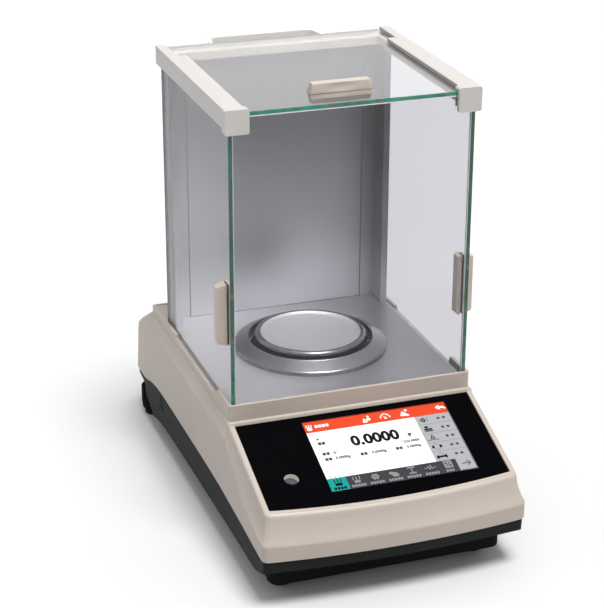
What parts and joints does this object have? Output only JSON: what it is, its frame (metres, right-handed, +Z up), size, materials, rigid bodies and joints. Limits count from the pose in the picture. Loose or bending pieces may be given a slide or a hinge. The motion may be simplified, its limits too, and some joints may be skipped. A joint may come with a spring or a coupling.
{
  "type": "analytical balance",
  "caption": "Electronic analytical balance: a sloping touch panel in front of a glass draft shield with sliding side and top doors around a round pan, on levelling feet.",
  "frame": {"origin": "centre of the footprint's bounding box, on the table that the feet stand on", "axes": "+Z up, -Y towards the front where the operator stands and the panel slopes, +X to the operator's right"},
  "size_m": [0.208, 0.378, 0.3546],
  "materials": {
    "case_light": "fine satin texture",
    "case_dark": "cast, dark textured paint",
    "panel_black": "glossy film",
    "lcd": "lit screen",
    "black_plastic": "matte",
    "vial": "clear",
    "bubble": "clear",
    "steel_plate": "brushed",
    "ring_metal": "satin",
    "pan_steel": "satin, rolled rim",
    "cell_alu": "machined",
    "copper_wire": "wound wire",
    "magnet_iron": "plated",
    "board_green": "solder mask",
    "screw_steel": "zinc plated",
    "ribbon": "flat flex",
    "port_plate": "fine texture",
    "port_metal": "nickel plated",
    "foot_rubber": "matte",
    "knob_black": "matte",
    "insert_brass": "turned",
    "glass": "clear, polished edges",
    "grip_beige": "satin",
    "frame_light": "satin paint",
    "column_steel": "satin paint"
  },
  "bodies": {
    "base": {"upper_housing": "case_light", "chamber_base": "case_light", "lower_housing": "case_dark", "panel_overlay": "panel_black", "lcd_module": "lcd", "level_cup": "case_light", "level_vial": "vial", "level_bubble": "bubble", "floor_plate": "steel_plate", "cell_frame": "cell_alu", "load_receiver": "cell_alu", "upper_guide": "cell_alu", "lower_guide": "cell_alu", "cell_lever": "cell_alu", "cell_coil": "copper_wire", "magnet_pot": "magnet_iron", "position_sensor": "board_green", "cell_screws": "screw_steel", "main_board": "board_green", "board_screws": "screw_steel", "display_ribbon": "ribbon", "rear_port_plate": "port_plate", "power_jack": "black_plastic", "serial_port": "port_metal", "front_feet": "foot_rubber", "foot_inserts": "insert_brass", "front_glass": "glass", "left_rail": "frame_light", "right_rail": "frame_light", "left_front_cap": "frame_light", "right_front_cap": "frame_light", "crossbar": "frame_light", "rear_grip": "frame_light", "left_column": "column_steel", "right_column": "column_steel", "back_plate": "steel_plate", "frame_screws": "screw_steel", "case_screws": "screw_steel"},
    "left_door": {"left_door_glass": "glass", "left_grip_outer": "grip_beige", "left_grip_inner": "grip_beige"},
    "right_door": {"right_door_glass": "glass", "right_grip_outer": "grip_beige", "right_grip_inner": "grip_beige"},
    "top_door": {"top_glass": "glass", "top_grip_outer": "grip_beige", "top_grip_inner": "grip_beige"},
    "pan": {"weighing_pan": "pan_steel"},
    "ring": {"draft_ring": "ring_metal"},
    "left_pad": {"left_foot_pad": "foot_rubber"},
    "left_knob": {"left_foot_knob": "knob_black"},
    "right_pad": {"right_foot_pad": "foot_rubber"},
    "right_knob": {"right_foot_knob": "knob_black"}
  },
  "joints": [
    {"name": "left_door_slide", "type": "slide", "parent": "base", "child": "left_door", "axis": [0, 1, 0], "range_m": [0, 0.14]},
    {"name": "right_door_slide", "type": "slide", "parent": "base", "child": "right_door", "axis": [0, 1, 0], "range_m": [0, 0.14]},
    {"name": "top_door_slide", "type": "slide", "parent": "base", "child": "top_door", "axis": [0, 1, 0], "range_m": [0, 0.135]},
    {"name": "pan_lift", "type": "slide", "parent": "base", "child": "pan", "axis": [0, 0, 1], "range_m": [0, 0.15]},
    {"name": "ring_lift", "type": "slide", "parent": "base", "child": "ring", "axis": [0, 0, 1], "range_m": [0, 0.12]},
    {"name": "left_foot_rise", "type": "slide", "parent": "base", "child": "left_pad", "axis": [0, 0, 1], "range_m": [-0.00251, 0.00251]},
    {"name": "left_foot_turn", "type": "hinge", "parent": "left_pad", "child": "left_knob", "pos_m": [-0.093, 0.166, 0.015], "axis": [0, 0, 1], "range_deg": [-720, 720]},
    {"name": "right_foot_rise", "type": "slide", "parent": "base", "child": "right_pad", "axis": [0, 0, 1], "range_m": [-0.00251, 0.00251]},
    {"name": "right_foot_turn", "type": "hinge", "parent": "right_pad", "child": "right_knob", "pos_m": [0.093, 0.166, 0.015], "axis": [0, 0, 1], "range_deg": [-720, 720]}
  ],
  "couplings": [
    {"joint": "left_foot_rise", "follows": "left_foot_turn", "m_per_rad": 0.00019894},
    {"joint": "right_foot_rise", "follows": "right_foot_turn", "m_per_rad": 0.00019894}
  ]
}
